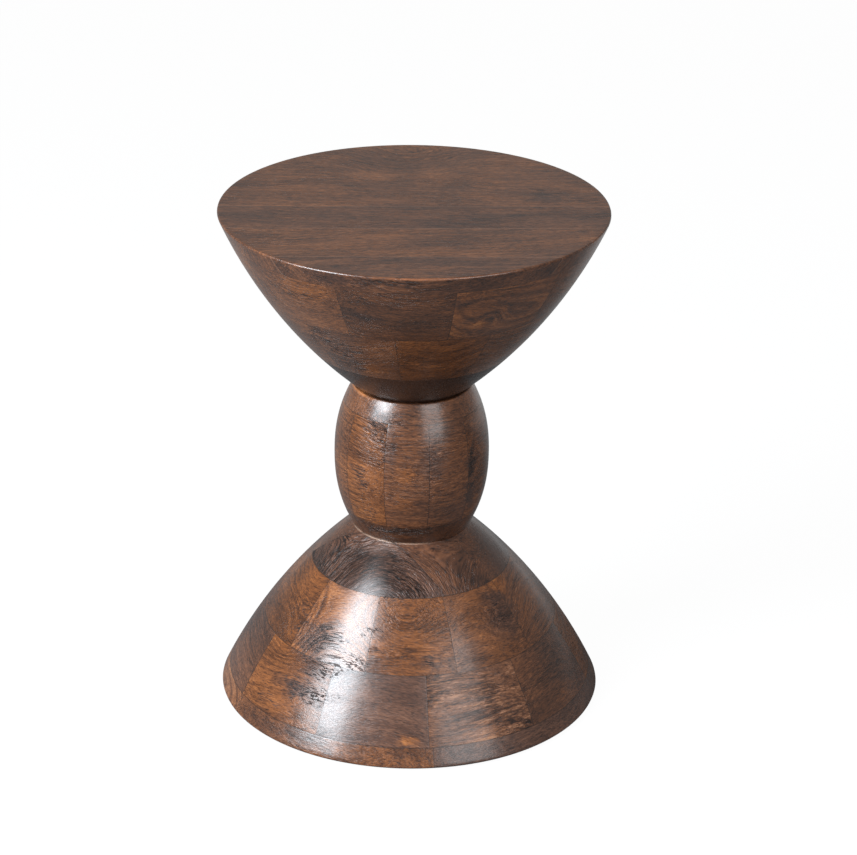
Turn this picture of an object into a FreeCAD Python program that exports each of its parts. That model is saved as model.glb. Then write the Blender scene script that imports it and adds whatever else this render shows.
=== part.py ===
import FreeCAD, Part
import math
import os

from FreeCAD import Matrix, Vector

# A hardwood side table in three turned sections, stacked on one axis.
#   bowl    a board top on two courses of blocks, closed below by a thick neck
#   barrel  a ring of staves between two end discs
#   base    a thick cap on two courses of blocks, standing on a mitred foot ring
# Each course is a ring of blocks sawn to wedges, glued edge to edge and laid like
# bricks on the next one. The outside is turned to one curve after gluing, while
# the inside keeps the flat sawn faces, stepped from course to course. A threaded
# rod through the barrel clamps the three sections together.
# Millimetres, +Z up. The origin is on the floor, on the turning axis.
# The front of the table faces -Y, and an azimuth runs from the front towards +X.

# Turned outline
TOP_RADIUS = 171.0
BOWL_NECK_RADIUS = 50.0
BOWL_BULGE = 12.0
BARREL_END_RADIUS = 52.5
BARREL_SWELL = 16.5
BASE_NECK_RADIUS = 52.0
FOOT_RADIUS = 173.0
BASE_BULGE = 10.5

# How full the barrel is between its ends: 2 is a plain parabola, more is squarer
BARREL_FULLNESS_SHARE = 2.3
BARREL_OUTLINE_STEPS = 12

# Heights of the stacked pieces, from the floor up
PAD_THICKNESS = 2.0
FOOT_BOARD_THICKNESS = 17.0
BASE_COURSE_HEIGHT = 54.0
CAP_THICKNESS = 36.0
BARREL_BOTTOM_THICKNESS = 19.0
STAVE_LENGTH = 99.0
BARREL_TOP_THICKNESS = 17.0
NECK_THICKNESS = 38.0
BOWL_COURSE_HEIGHT = 54.0
TOP_BOARD_THICKNESS = 16.0

# Stock that the pieces are sawn from
FOOT_BOARD_WIDTH = 88.0
COURSE_WALL = 32.0
STAVE_DEPTH = 42.0
BLOCKS_PER_COURSE = 10
FOOT_SEGMENTS = 5

# Azimuth of one joint in each ring, and of the boards' joints, in degrees
BOWL_UPPER_JOINT = 12.7
BOWL_LOWER_JOINT = -6.3
STAVE_JOINT = 12.0
BASE_UPPER_JOINT = 18.7
BASE_LOWER_JOINT = 6.3
FOOT_JOINT = 7.5
TOP_JOINT_AZIMUTH = 91.3
NECK_JOINT_AZIMUTH = 2.5
CAP_JOINT_AZIMUTH = 54.0

# Where the boards of each disc meet, as shares of its largest radius
TOP_JOINT_SHARES = (-0.70, -0.30, 0.02)
NECK_JOINT_SHARES = (0.0,)
CAP_JOINT_SHARES = (-0.56, 0.43)

# The stave ring was glued up a little off the axis that it was turned on
STAVE_RING_SHIFT = 5.4
STAVE_RING_SHIFT_AZIMUTH = 30.0

# Worked edges
RIM_ROUND = 1.5
FOOT_ROUND = 2.0
BOWL_NECK_ROUND = 1.0
BARREL_END_ROUND = 2.0
BASE_NECK_ROUND = 1.5

# Turned spigots on the barrel's ends, and the recesses that they are glued in
SPIGOT_RADIUS = 22.0
SPIGOT_LENGTH = 10.0
SPIGOT_SIDE_GAP = 0.15
SPIGOT_END_GAP = 0.5

# Threaded rod with its nut and washer inside the base, and a tee nut in the bowl
ROD_RADIUS = 5.0
ROD_TAIL = 6.0
ROD_HOLE_CLEARANCE = 0.5
THREAD_CLEARANCE = 0.05
ROD_END_CHAMFER = 1.0
WASHER_RADIUS = 15.0
WASHER_THICKNESS = 2.5
WASHER_HOLE_CLEARANCE = 0.4
NUT_ACROSS_FLATS = 17.0
NUT_HEIGHT = 8.0
NUT_CORNER_SLOPE = 30.0
NUT_FACE_SHARE = 0.95
TEE_FLANGE_RADIUS = 13.0
TEE_FLANGE_THICKNESS = 1.6
TEE_SLEEVE_RADIUS = 6.2
TEE_SLEEVE_LENGTH = 13.0
TEE_PRONGS = 4
PRONG_LENGTH = 8.0
PRONG_WIDTH = 3.0
PRONG_THICKNESS = 1.6

# Felt pads, one under each foot segment
PAD_RADIUS = 12.5
PAD_INSET = 28.0

# How far a cutting shape runs past what it cuts
OVERRUN = 5.0

# Levels, worked out from the stack
FOOT_BOTTOM = PAD_THICKNESS
BASE_LOWER_FLOOR = FOOT_BOTTOM + FOOT_BOARD_THICKNESS
BASE_UPPER_FLOOR = BASE_LOWER_FLOOR + BASE_COURSE_HEIGHT
CAP_FLOOR = BASE_UPPER_FLOOR + BASE_COURSE_HEIGHT
BARREL_FLOOR = CAP_FLOOR + CAP_THICKNESS
STAVE_FLOOR = BARREL_FLOOR + BARREL_BOTTOM_THICKNESS
STAVE_CEILING = STAVE_FLOOR + STAVE_LENGTH
NECK_FLOOR = STAVE_CEILING + BARREL_TOP_THICKNESS
BOWL_LOWER_FLOOR = NECK_FLOOR + NECK_THICKNESS
BOWL_UPPER_FLOOR = BOWL_LOWER_FLOOR + BOWL_COURSE_HEIGHT
TOP_FLOOR = BOWL_UPPER_FLOOR + BOWL_COURSE_HEIGHT
TABLE_HEIGHT = TOP_FLOOR + TOP_BOARD_THICKNESS

UP = Vector(0, 0, 1)
WIDEST = max(TOP_RADIUS, FOOT_RADIUS) + OVERRUN


def spot(radius, azimuth, level=0.0):
    """A point at a radius from the axis, on an azimuth in degrees, at a level."""
    turn = math.radians(azimuth)
    return Vector(radius * math.sin(turn), -radius * math.cos(turn), level)


def slab(low, high):
    """A disc wider than the table, between two levels."""
    return Part.makeCylinder(WIDEST, high - low, Vector(0, 0, low), UP)


def drilled(solid, radius, low, high):
    """The solid with a hole on the axis, between two levels."""
    return solid.cut(Part.makeCylinder(radius, high - low, Vector(0, 0, low), UP))


def only_solid(shape):
    """The one solid that a cut or a common has left."""
    return max(shape.Solids, key=lambda solid: solid.Volume)


class ConeCurve:
    """The side of the bowl or the base: one arc that stands out over its chord by a bulge."""

    def __init__(self, narrow_radius, narrow_level, wide_radius, wide_level, bulge):
        narrow = Vector(narrow_radius, 0, narrow_level)
        wide = Vector(wide_radius, 0, wide_level)
        chord = wide - narrow
        outward = Vector(abs(chord.z), 0, -chord.x * math.copysign(1, chord.z))
        outward.normalize()
        self.arc_radius = (chord.Length**2 / 4 + bulge**2) / (2 * bulge)
        self.centre = (narrow + wide) / 2 + outward * (bulge - self.arc_radius)

    def radius_at(self, level):
        rise = level - self.centre.z
        return self.centre.x + math.sqrt(self.arc_radius**2 - rise**2)

    def point(self, level):
        return Vector(self.radius_at(level), 0, level)

    def edge(self, low, high):
        middle = self.point((low + high) / 2)
        return Part.Arc(self.point(low), middle, self.point(high)).toShape()


class BarrelCurve:
    """The barrel's side, which swells out evenly from both ends to its belly."""

    def radius_at(self, level):
        middle = (BARREL_FLOOR + NECK_FLOOR) / 2
        reach = abs(level - middle) / (NECK_FLOOR - middle)
        return BARREL_END_RADIUS + BARREL_SWELL * (1 - reach**BARREL_FULLNESS_SHARE)

    def point(self, level):
        return Vector(self.radius_at(level), 0, level)

    def edge(self, low, high):
        step = (high - low) / BARREL_OUTLINE_STEPS
        points = [self.point(low + step * i) for i in range(BARREL_OUTLINE_STEPS)]
        curve = Part.BSplineCurve()
        curve.interpolate(points + [self.point(high)])
        return curve.toShape()


def turned(curve, low, high):
    """The solid inside a curve, between two levels, spun about the axis."""
    foot = Vector(0, 0, low)
    head = Vector(0, 0, high)
    outline = Part.Wire(
        [
            Part.makeLine(foot, curve.point(low)),
            curve.edge(low, high),
            Part.makeLine(curve.point(high), head),
            Part.makeLine(head, foot),
        ]
    )
    return Part.Face(outline).revolve(Vector(0, 0, 0), UP, 360)


def rounded_end(solid, radius, level):
    """The solid with its turned edge at one level rounded over."""
    rims = [
        edge
        for edge in solid.Edges
        if isinstance(edge.Curve, Part.Circle)
        and abs(edge.Curve.Center.z - level) < OVERRUN / 1000
        and edge.Curve.Radius > SPIGOT_RADIUS
    ]
    return solid.makeFillet(radius, rims)


def wedge(low, high, flat, first, last, centre=Vector(0, 0, 0)):
    """A wedge between two azimuths, cut off square at a flat distance from its centre."""
    half = math.radians(last - first) / 2
    inner = flat / math.cos(half)
    outer = (WIDEST + centre.Length) / math.cos(half)
    corners = [
        spot(inner, first, low),
        spot(outer, first, low),
        spot(outer, last, low),
        spot(inner, last, low),
    ]
    corners = [corner + centre for corner in corners]
    face = Part.Face(Part.makePolygon(corners + corners[:1]))
    return face.extrude(Vector(0, 0, high - low))


def ring_of_blocks(body, low, high, flat, count, joint, centre=Vector(0, 0, 0)):
    """A turned body sawn into equal wedges with flat inner faces, one solid for each."""
    pitch = 360 / count
    blocks = []
    for i in range(count):
        first = joint + pitch * i
        cut = wedge(low, high, flat, first, first + pitch, centre)
        blocks.append(only_solid(body.common(cut)))
    return blocks


def boards(body, low, high, azimuth, radius, shares):
    """A turned body made of boards along an azimuth, whose joints lie at shares of a radius."""
    along = spot(1, azimuth)
    across = Vector(-along.y, along.x, 0)
    sides = [-WIDEST, *[radius * share for share in shares], WIDEST]
    strips = []
    for near, far in zip(sides, sides[1:]):
        corners = [
            across * near - along * WIDEST,
            across * far - along * WIDEST,
            across * far + along * WIDEST,
            across * near + along * WIDEST,
        ]
        corners = [corner + UP * low for corner in corners]
        face = Part.Face(Part.makePolygon(corners + corners[:1]))
        strips.append(only_solid(body.common(face.extrude(UP * (high - low)))))
    return strips


def tee_nut():
    """A pressed tee nut: flange, threaded sleeve and prongs that bite into the neck."""
    seat = Vector(0, 0, BOWL_LOWER_FLOOR)
    nut = Part.makeCylinder(TEE_FLANGE_RADIUS, TEE_FLANGE_THICKNESS, seat, UP)
    sleeve = Part.makeCylinder(TEE_SLEEVE_RADIUS, TEE_SLEEVE_LENGTH, seat, -UP)
    nut = nut.fuse(sleeve)
    for i in range(TEE_PRONGS):
        nut = nut.fuse(prong(360 / TEE_PRONGS * i))
    return nut.removeSplitter()


def prong(azimuth):
    """One prong of the tee nut, bent down at the flange's edge and cut to a point."""
    outline = [
        Vector(-PRONG_WIDTH / 2, 0, 0),
        Vector(PRONG_WIDTH / 2, 0, 0),
        Vector(0, 0, -PRONG_LENGTH),
    ]
    face = Part.Face(Part.makePolygon(outline + outline[:1]))
    solid = face.extrude(Vector(0, PRONG_THICKNESS, 0))
    solid.translate(Vector(0, -TEE_FLANGE_RADIUS + PRONG_THICKNESS / 2, BOWL_LOWER_FLOOR))
    solid.rotate(Vector(0, 0, 0), UP, azimuth)
    return solid


def make_top(nodes):
    """The table top: boards glued edge to edge, turned and rounded over at the rim."""
    disc = turned(BOWL, TOP_FLOOR, TABLE_HEIGHT)
    disc = rounded_end(disc, RIM_ROUND, TABLE_HEIGHT)
    strips = boards(
        disc, TOP_FLOOR, TABLE_HEIGHT, TOP_JOINT_AZIMUTH, TOP_RADIUS, TOP_JOINT_SHARES
    )
    for i, strip in enumerate(strips):
        nodes[f"top_board_{i + 1}"] = strip


def make_bowl(nodes):
    """Two courses of blocks, widening to the top."""
    courses = [
        ("bowl_upper_block", BOWL_UPPER_FLOOR, BOWL_UPPER_JOINT),
        ("bowl_lower_block", BOWL_LOWER_FLOOR, BOWL_LOWER_JOINT),
    ]
    for name, low, joint in courses:
        high = low + BOWL_COURSE_HEIGHT
        flat = BOWL.radius_at(low) - COURSE_WALL
        body = turned(BOWL, low, high)
        add_course(nodes, name, body, low, high, flat, joint)


def make_neck(nodes):
    """The bowl's bottom: boards side by side, with a hole for the rod and its tee nut."""
    body = turned(BOWL, NECK_FLOOR, BOWL_LOWER_FLOOR)
    body = rounded_end(body, BOWL_NECK_ROUND, NECK_FLOOR)
    body = drilled(body, ROD_RADIUS + ROD_HOLE_CLEARANCE, NECK_FLOOR, BOWL_LOWER_FLOOR)
    recess = SPIGOT_LENGTH + SPIGOT_END_GAP
    body = drilled(body, SPIGOT_RADIUS + SPIGOT_SIDE_GAP, NECK_FLOOR, NECK_FLOOR + recess)
    body = body.cut(tee_nut())
    widest = BOWL.radius_at(BOWL_LOWER_FLOOR)
    strips = boards(
        body, NECK_FLOOR, BOWL_LOWER_FLOOR, NECK_JOINT_AZIMUTH, widest, NECK_JOINT_SHARES
    )
    for i, strip in enumerate(strips):
        nodes[f"bowl_neck_board_{i + 1}"] = strip


def make_barrel(nodes):
    """Staves with their grain lying level, between two discs that carry the spigots."""
    curve = BarrelCurve()
    body = turned(curve, BARREL_FLOOR, NECK_FLOOR)
    body = rounded_end(body, BARREL_END_ROUND, NECK_FLOOR)
    body = rounded_end(body, BARREL_END_ROUND, BARREL_FLOOR)
    rod_hole = ROD_RADIUS + ROD_HOLE_CLEARANCE

    low_spigot = BARREL_FLOOR - SPIGOT_LENGTH
    spigot = Part.makeCylinder(SPIGOT_RADIUS, SPIGOT_LENGTH, UP * low_spigot, UP)
    disc = body.common(slab(BARREL_FLOOR, STAVE_FLOOR)).fuse(spigot)
    disc = drilled(disc, rod_hole, low_spigot, STAVE_FLOOR)
    nodes["barrel_bottom_disc"] = only_solid(disc.removeSplitter())

    high_spigot = NECK_FLOOR + SPIGOT_LENGTH
    spigot = Part.makeCylinder(SPIGOT_RADIUS, SPIGOT_LENGTH, UP * NECK_FLOOR, UP)
    disc = body.common(slab(STAVE_CEILING, NECK_FLOOR)).fuse(spigot)
    disc = drilled(disc, rod_hole, STAVE_CEILING, high_spigot)
    nodes["barrel_top_disc"] = only_solid(disc.removeSplitter())

    flat = curve.radius_at(STAVE_FLOOR) - STAVE_DEPTH
    shift = spot(STAVE_RING_SHIFT, STAVE_RING_SHIFT_AZIMUTH)
    staves = ring_of_blocks(
        body, STAVE_FLOOR, STAVE_CEILING, flat, BLOCKS_PER_COURSE, STAVE_JOINT, shift
    )
    nodes["barrel_staves"] = Part.makeCompound(staves)


def make_cap(nodes):
    """The base's top: boards side by side, bored for the rod and the barrel's spigot."""
    body = turned(BASE, CAP_FLOOR, BARREL_FLOOR)
    body = rounded_end(body, BASE_NECK_ROUND, BARREL_FLOOR)
    body = drilled(body, ROD_RADIUS + ROD_HOLE_CLEARANCE, CAP_FLOOR, BARREL_FLOOR)
    recess = SPIGOT_LENGTH + SPIGOT_END_GAP
    body = drilled(body, SPIGOT_RADIUS + SPIGOT_SIDE_GAP, BARREL_FLOOR - recess, BARREL_FLOOR)
    widest = BASE.radius_at(CAP_FLOOR)
    strips = boards(
        body, CAP_FLOOR, BARREL_FLOOR, CAP_JOINT_AZIMUTH, widest, CAP_JOINT_SHARES
    )
    for i, strip in enumerate(strips):
        nodes[f"base_cap_board_{i + 1}"] = strip


def make_base(nodes):
    """Two courses of blocks, widening to the foot."""
    courses = [
        ("base_upper_block", BASE_UPPER_FLOOR, BASE_UPPER_JOINT),
        ("base_lower_block", BASE_LOWER_FLOOR, BASE_LOWER_JOINT),
    ]
    for name, low, joint in courses:
        high = low + BASE_COURSE_HEIGHT
        flat = BASE.radius_at(high) - COURSE_WALL
        body = turned(BASE, low, high)
        add_course(nodes, name, body, low, high, flat, joint)


def make_foot(nodes):
    """A ring of mitred boards at the floor, with a felt pad under each."""
    body = turned(BASE, FOOT_BOTTOM, BASE_LOWER_FLOOR)
    body = rounded_end(body, FOOT_ROUND, FOOT_BOTTOM)
    flat = FOOT_RADIUS - FOOT_BOARD_WIDTH
    segments = ring_of_blocks(
        body, FOOT_BOTTOM, BASE_LOWER_FLOOR, flat, FOOT_SEGMENTS, FOOT_JOINT
    )
    nodes["foot_ring_segments"] = Part.makeCompound(segments)
    pitch = 360 / FOOT_SEGMENTS
    pads = []
    for i in range(FOOT_SEGMENTS):
        place = spot(FOOT_RADIUS - PAD_INSET, FOOT_JOINT + pitch * (i + 1 / 2))
        pads.append(Part.makeCylinder(PAD_RADIUS, PAD_THICKNESS, place, UP))
    nodes["felt_pads"] = Part.makeCompound(pads)


def add_course(nodes, name, body, low, high, flat, joint):
    """Saws one course of the bowl or the base, and gives each block its own node."""
    blocks = ring_of_blocks(body, low, high, flat, BLOCKS_PER_COURSE, joint)
    for i, block in enumerate(blocks):
        nodes[f"{name}_{i + 1:02d}"] = block


def make_fasteners(nodes):
    """The rod, its washer and nut under the cap, and the tee nut on top of the neck."""
    washer_level = CAP_FLOOR - WASHER_THICKNESS
    nut_level = washer_level - NUT_HEIGHT
    rod_low = nut_level - ROD_TAIL
    rod_high = BOWL_LOWER_FLOOR + TEE_FLANGE_THICKNESS + ROD_TAIL
    threaded_hole = ROD_RADIUS + THREAD_CLEARANCE

    rod = Part.makeCylinder(ROD_RADIUS, rod_high - rod_low, UP * rod_low, UP)
    ends = [edge for edge in rod.Edges if isinstance(edge.Curve, Part.Circle)]
    nodes["threaded_rod"] = rod.makeChamfer(ROD_END_CHAMFER, ends)

    washer = Part.makeCylinder(WASHER_RADIUS, WASHER_THICKNESS, UP * washer_level, UP)
    hole = ROD_RADIUS + WASHER_HOLE_CLEARANCE
    nodes["washer"] = drilled(washer, hole, washer_level, CAP_FLOOR)

    nodes["hex_nut"] = drilled(hex_nut(nut_level), threaded_hole, nut_level, washer_level)

    low = BOWL_LOWER_FLOOR - TEE_SLEEVE_LENGTH
    high = BOWL_LOWER_FLOOR + TEE_FLANGE_THICKNESS
    nodes["tee_nut"] = only_solid(drilled(tee_nut(), threaded_hole, low, high))


def hex_nut(level):
    """A hexagon whose corners are turned off at both faces, as a nut's are."""
    corner = NUT_ACROSS_FLATS / 2 / math.cos(math.radians(30))
    points = [spot(corner, 60 * i, level) for i in range(6)]
    prism = Part.Face(Part.makePolygon(points + points[:1])).extrude(UP * NUT_HEIGHT)
    face_radius = NUT_ACROSS_FLATS / 2 * NUT_FACE_SHARE
    slope = math.tan(math.radians(NUT_CORNER_SLOPE))
    spread = NUT_HEIGHT / 2 / slope
    lower = Part.makeCone(face_radius, face_radius + spread, NUT_HEIGHT / 2, UP * level, UP)
    middle = UP * (level + NUT_HEIGHT / 2)
    upper = Part.makeCone(face_radius + spread, face_radius, NUT_HEIGHT / 2, middle, UP)
    return prism.common(lower.fuse(upper))


BOWL = ConeCurve(BOWL_NECK_RADIUS, NECK_FLOOR, TOP_RADIUS, TABLE_HEIGHT, BOWL_BULGE)
BASE = ConeCurve(BASE_NECK_RADIUS, BARREL_FLOOR, FOOT_RADIUS, FOOT_BOTTOM, BASE_BULGE)


def main():
    nodes = {}
    make_top(nodes)
    make_bowl(nodes)
    make_neck(nodes)
    make_barrel(nodes)
    make_cap(nodes)
    make_base(nodes)
    make_foot(nodes)
    make_fasteners(nodes)
    os.makedirs("parts", exist_ok=True)
    for name, shape in nodes.items():
        shape.exportStep(f"parts/{name}.step")
        print(name, len(shape.Solids), shape.isValid(), round(shape.Volume))
    print("nodes", len(nodes), "height", TABLE_HEIGHT)


main()
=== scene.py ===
import math
import random

import bpy
from mathutils import Matrix, Vector


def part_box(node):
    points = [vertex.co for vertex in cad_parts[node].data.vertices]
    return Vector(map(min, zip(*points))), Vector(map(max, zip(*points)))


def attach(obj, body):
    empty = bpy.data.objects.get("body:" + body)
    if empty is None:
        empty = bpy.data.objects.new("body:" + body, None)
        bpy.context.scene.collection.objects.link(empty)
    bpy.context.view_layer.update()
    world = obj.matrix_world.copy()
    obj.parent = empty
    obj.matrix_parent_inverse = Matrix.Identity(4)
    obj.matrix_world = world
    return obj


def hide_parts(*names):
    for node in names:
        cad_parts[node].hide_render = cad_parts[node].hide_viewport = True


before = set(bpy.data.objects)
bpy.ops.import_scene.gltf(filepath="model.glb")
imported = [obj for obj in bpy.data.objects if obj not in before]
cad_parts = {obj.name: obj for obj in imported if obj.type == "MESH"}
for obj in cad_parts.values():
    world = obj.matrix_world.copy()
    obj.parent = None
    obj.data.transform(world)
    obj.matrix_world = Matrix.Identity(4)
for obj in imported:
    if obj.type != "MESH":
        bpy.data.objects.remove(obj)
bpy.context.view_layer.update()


# FOOT RING
# Five hardwood boards mitred into a ring that stands on the floor. Their outside was
# turned with the rest of the base to one bulging curve, then stained and lacquered.
# They are glued under the lower course, and their bottom edge is rounded over.


class Value:
    """A node's output, so that the maths of a node tree reads as plain expressions."""

    def __init__(self, graph, socket):
        self.graph = graph
        self.socket = socket

    def math(self, operation, *others):
        inputs = dict(enumerate([self, *others]))
        return self.graph.add("ShaderNodeMath", {"operation": operation}, inputs)

    def __add__(self, other):
        return self.math("ADD", other)

    def __radd__(self, other):
        return self.math("ADD", other)

    def __sub__(self, other):
        return self.math("SUBTRACT", other)

    def __rsub__(self, other):
        return (-self).math("ADD", other)

    def __mul__(self, other):
        return self.math("MULTIPLY", other)

    def __rmul__(self, other):
        return self.math("MULTIPLY", other)

    def __truediv__(self, other):
        return self.math("DIVIDE", other)

    def __neg__(self):
        return self.math("MULTIPLY", -1.0)

    def __pow__(self, other):
        return self.math("POWER", other)

    def __gt__(self, other):
        return self.math("GREATER_THAN", other)

    def root(self):
        return self.math("SQRT")

    def sine(self):
        return self.math("SINE")

    def cosine(self):
        return self.math("COSINE")

    def size(self):
        return self.math("ABSOLUTE")

    def least(self, other):
        return self.math("MINIMUM", other)

    def most(self, other):
        return self.math("MAXIMUM", other)

    def between(self, low, high):
        """0 below low, 1 above high, and smooth between them."""
        settings = {"interpolation_type": "SMOOTHSTEP"}
        inputs = {"Value": self, "From Min": low, "From Max": high}
        return self.graph.add("ShaderNodeMapRange", settings, inputs)

    def towards(self, other, share):
        """This value where share is 0, and the other where it is 1."""
        return self + (other - self) * share

    def eased(self):
        """A place from -0.5 to 0.5 as a share, in steps that are finer near both ends."""
        return 0.5 - ((self + 0.5) * math.pi).cosine() * 0.5


class Graph:
    """A node tree while it is put together."""

    def __init__(self, tree):
        self.tree = tree

    def add(self, kind, settings=None, inputs=None, output=0):
        """A node of a type, with its settings and the values or links of its sockets."""
        node = self.tree.nodes.new(kind)
        for name, value in (settings or {}).items():
            if name == "stops":
                self.set_stops(node.color_ramp, value)
            else:
                setattr(node, name, value)
        for key, value in (inputs or {}).items():
            if isinstance(value, Value):
                self.tree.links.new(value.socket, node.inputs[key])
            else:
                node.inputs[key].default_value = value
        return Value(self, node.outputs[output]) if node.outputs else None

    def set_stops(self, ramp, stops):
        while len(ramp.elements) < len(stops):
            ramp.elements.new(1.0)
        for element, (place, colour) in zip(ramp.elements, stops):
            element.position = place
            element.color = (*colour, 1.0)

    def vector(self, x, y, z):
        return self.add("ShaderNodeCombineXYZ", None, {0: x, 1: y, 2: z})

    def parts(self, vector):
        """The x, y and z of a vector."""
        return [self.add("ShaderNodeSeparateXYZ", None, {0: vector}, i) for i in range(3)]

    def vectors(self, operation, first, second, output=0):
        settings = {"operation": operation}
        return self.add("ShaderNodeVectorMath", settings, {0: first, 1: second}, output)

    def dot(self, first, second):
        return self.vectors("DOT_PRODUCT", first, second, "Value")

    def scaled(self, vector, scale):
        settings = {"operation": "SCALE"}
        return self.add("ShaderNodeVectorMath", settings, {0: vector, "Scale": scale})

    def spun(self, vector, angle):
        """A vector turned about the upright axis."""
        settings = {"rotation_type": "Z_AXIS"}
        return self.add("ShaderNodeVectorRotate", settings, {"Vector": vector, "Angle": angle})

    def noise(self, vector, detail=2.0, roughness=0.5, output="Fac"):
        inputs = {"Vector": vector, "Scale": 1.0, "Detail": detail, "Roughness": roughness}
        return self.add("ShaderNodeTexNoise", None, inputs, output)

    def mixed(self, share, first, second):
        """One colour where share is 0, the other where it is 1."""
        settings = {"data_type": "RGBA"}
        return self.add("ShaderNodeMix", settings, {0: share, 6: first, 7: second}, 2)


class Arc:
    """A turned side: an arc that stands out over its chord by a bulge, in metres."""

    def __init__(self, narrow_radius, narrow_level, wide_radius, wide_level, bulge):
        narrow = Vector((narrow_radius, narrow_level))
        wide = Vector((wide_radius, wide_level))
        chord = wide - narrow
        outward = Vector((abs(chord.y), -chord.x * math.copysign(1, chord.y)))
        outward.normalize()
        self.reach = (chord.length**2 / 4 + bulge**2) / (2 * bulge)
        self.centre = (narrow + wide) / 2 + outward * (bulge - self.reach)

    def at(self, level):
        return self.centre.x + math.sqrt(self.reach**2 - (level - self.centre.y) ** 2)

    def value(self, level):
        rise = level - self.centre.y
        return self.centre.x + (self.reach**2 - rise * rise).root()


class Rounded:
    """A turned side whose edge at one end is rounded over. Outward is 1 at a top end."""

    def __init__(self, side, end, outward, rounding):
        step = rounding / 100
        slope = (side.at(end) - side.at(end - outward * step)) / step
        length = math.sqrt(1 + slope**2)
        self.side = side
        self.outward = outward
        self.rounding = rounding
        self.centre_radius = side.at(end) - rounding * (length + slope)
        self.centre_level = end - outward * rounding
        self.start = self.centre_level - outward * rounding * slope / length

    def at(self, level):
        if self.outward * (level - self.start) <= 0:
            return self.side.at(level)
        rise = level - self.centre_level
        return self.centre_radius + math.sqrt(max(self.rounding**2 - rise**2, 0))

    def value(self, level):
        rise = level - self.centre_level
        arc = self.centre_radius + (self.rounding**2 - rise * rise).most(0.0).root()
        turned = (level - self.start) * self.outward > 0.0
        return self.side.value(level).towards(arc, turned)


def geometry_tree(name, sizes):
    """A Geometry Nodes tree, and a value for each of its named inputs."""
    tree = bpy.data.node_groups.new(name, "GeometryNodeTree")
    tree.interface.new_socket("Geometry", in_out="OUTPUT", socket_type="NodeSocketGeometry")
    for size, kind in sizes.items():
        tree.interface.new_socket(size, in_out="INPUT", socket_type="NodeSocket" + kind)
    graph = Graph(tree)
    given = tree.nodes.new("NodeGroupInput")
    return graph, {size: Value(graph, given.outputs[size]) for size in sizes}


def keep_as(graph, mesh, name, value):
    """Stores a vector on the mesh's points, under a name that the material reads."""
    settings = {"data_type": "FLOAT_VECTOR", "domain": "POINT"}
    inputs = {"Geometry": mesh, "Name": name, "Value": value}
    return graph.add("GeometryNodeStoreNamedAttribute", settings, inputs)


SHARP_ANGLE = math.radians(28)

def end_tree(graph, mesh, material):
    """Smooths all but the sharp edges, and ends the tree."""
    creased = graph.add("GeometryNodeInputMeshEdgeAngle") > SHARP_ANGLE
    inputs = {"Geometry": mesh, "Shade Smooth": True}
    mesh = graph.add("GeometryNodeSetShadeSmooth", {"domain": "FACE"}, inputs)
    inputs = {"Geometry": mesh, "Selection": creased, "Shade Smooth": False}
    mesh = graph.add("GeometryNodeSetShadeSmooth", {"domain": "EDGE"}, inputs)
    mesh = graph.add("GeometryNodeRealizeInstances", None, {"Geometry": mesh})
    inputs = {"Geometry": mesh, "Material": material}
    mesh = graph.add("GeometryNodeSetMaterial", None, inputs)
    end = graph.tree.nodes.new("NodeGroupOutput")
    graph.tree.links.new(mesh.socket, end.inputs[0])


TIMBER_SIZES = {
    "Timber middle": "Vector",
    "Timber origin": "Vector",
    "Grain azimuth": "Float",
    "Grain turn": "Vector",
    "Stain": "Vector",
    "Figure": "Vector",
    "Gloss": "Float",
    "Material": "Material",
}


def end_timber(graph, mesh, given, beside, above):
    """Stores what the wood's material reads: the place in the timber, seams and finish."""
    place = graph.add("GeometryNodeInputPosition")
    place = graph.vectors("SUBTRACT", place, given["Timber middle"])
    place = graph.spun(place, -given["Grain azimuth"])
    inputs = {"Vector": place, "Rotation": given["Grain turn"]}
    place = graph.add("ShaderNodeVectorRotate", {"rotation_type": "EULER_XYZ"}, inputs)
    place = graph.vectors("ADD", place, given["Timber origin"])
    mesh = keep_as(graph, mesh, "timber", place)
    mesh = keep_as(graph, mesh, "seam", graph.vector(beside, above, given["Gloss"]))
    mesh = keep_as(graph, mesh, "stain", given["Stain"])
    mesh = keep_as(graph, mesh, "figure", given["Figure"])
    end_tree(graph, mesh, given["Material"])


# Just inside the faces of the cube, one unit wide, that a block is bent from
CUBE_FACE = 0.499

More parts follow.
